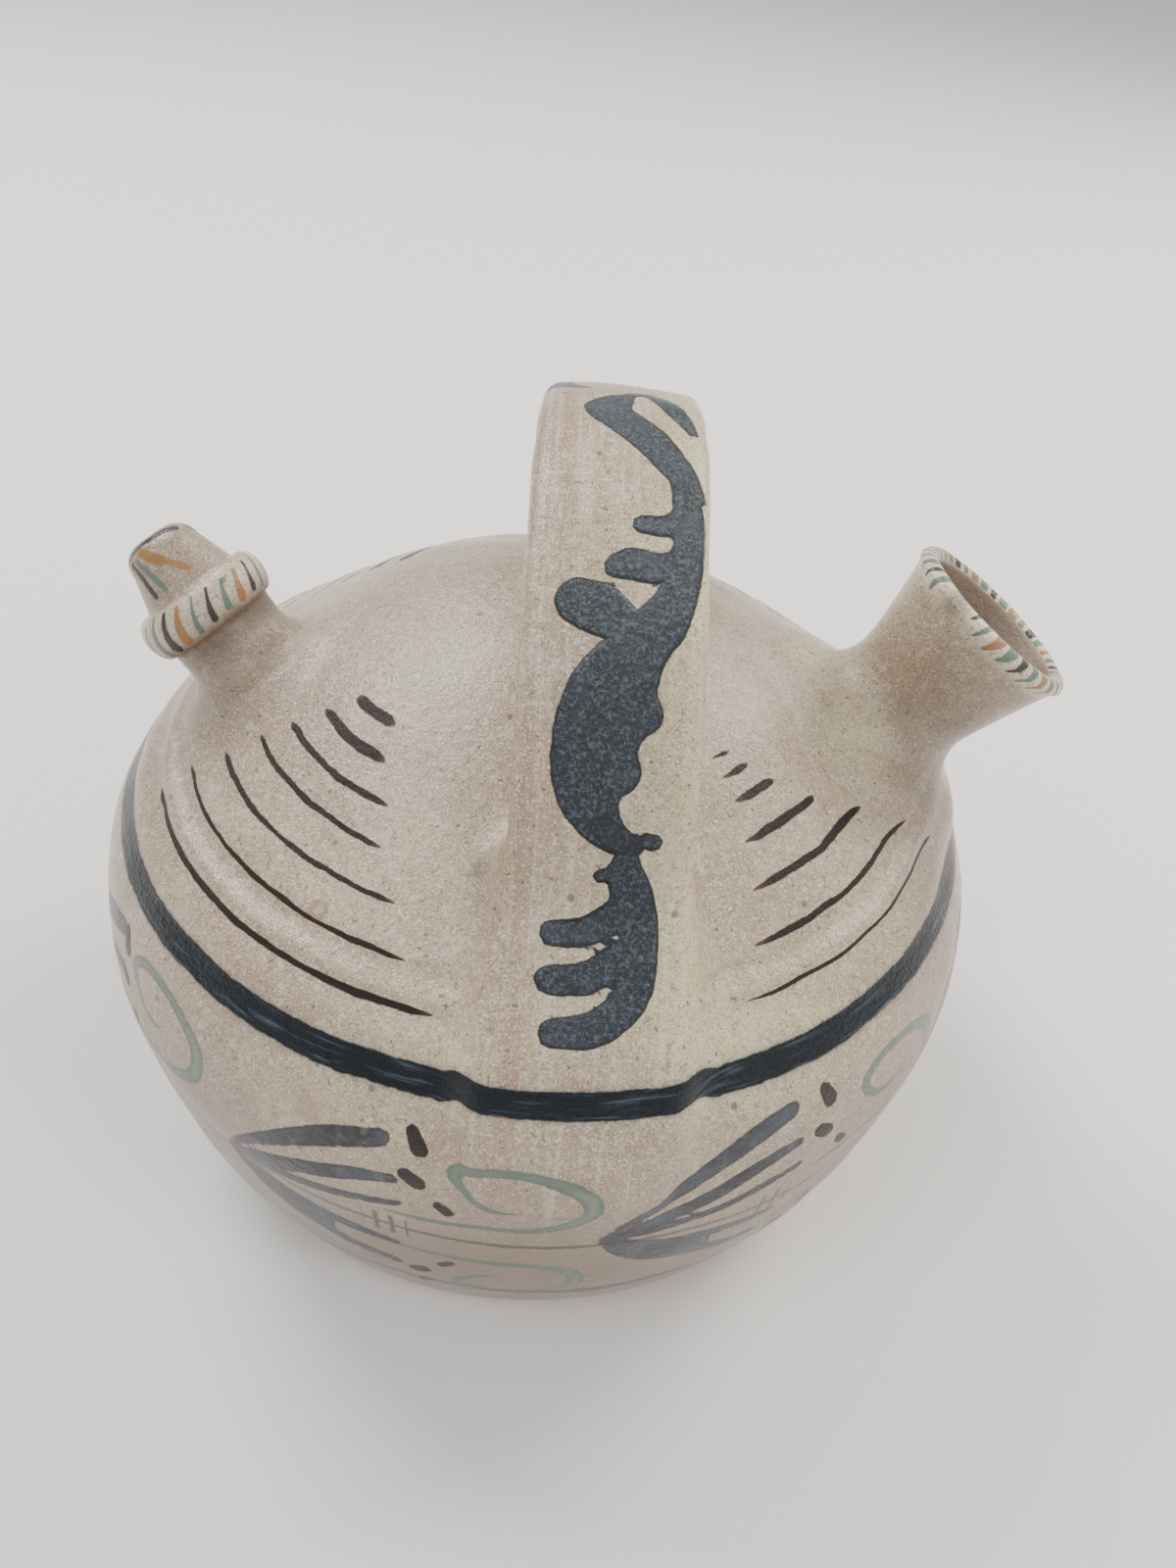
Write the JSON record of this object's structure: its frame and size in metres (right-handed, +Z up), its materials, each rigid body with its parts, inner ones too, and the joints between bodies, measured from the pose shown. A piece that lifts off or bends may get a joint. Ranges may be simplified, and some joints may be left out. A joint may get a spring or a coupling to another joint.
{
  "type": "clay water jug",
  "caption": "Squat round closed water jug of glazed clay with a strap handle over its dome, a flared filling mouth and a beaded drinking spout.",
  "frame": {"origin": "middle of the flat underside, on the thrown body's axis", "axes": "+Z up along the body's axis, +X towards the filling mouth, -X towards the drinking spout, the strap handle along Y"},
  "size_m": [0.2092, 0.2018, 0.1835],
  "materials": {
    "glazed_clay": "satin speckled beige glaze with dark blue bands and brush strokes, brown arcs and green spirals"
  },
  "bodies": {
    "root": {"bowl": "glazed_clay", "dome": "glazed_clay", "strap_handle": "glazed_clay", "filling_mouth": "glazed_clay", "drinking_spout": "glazed_clay"}
  },
  "joints": []
}
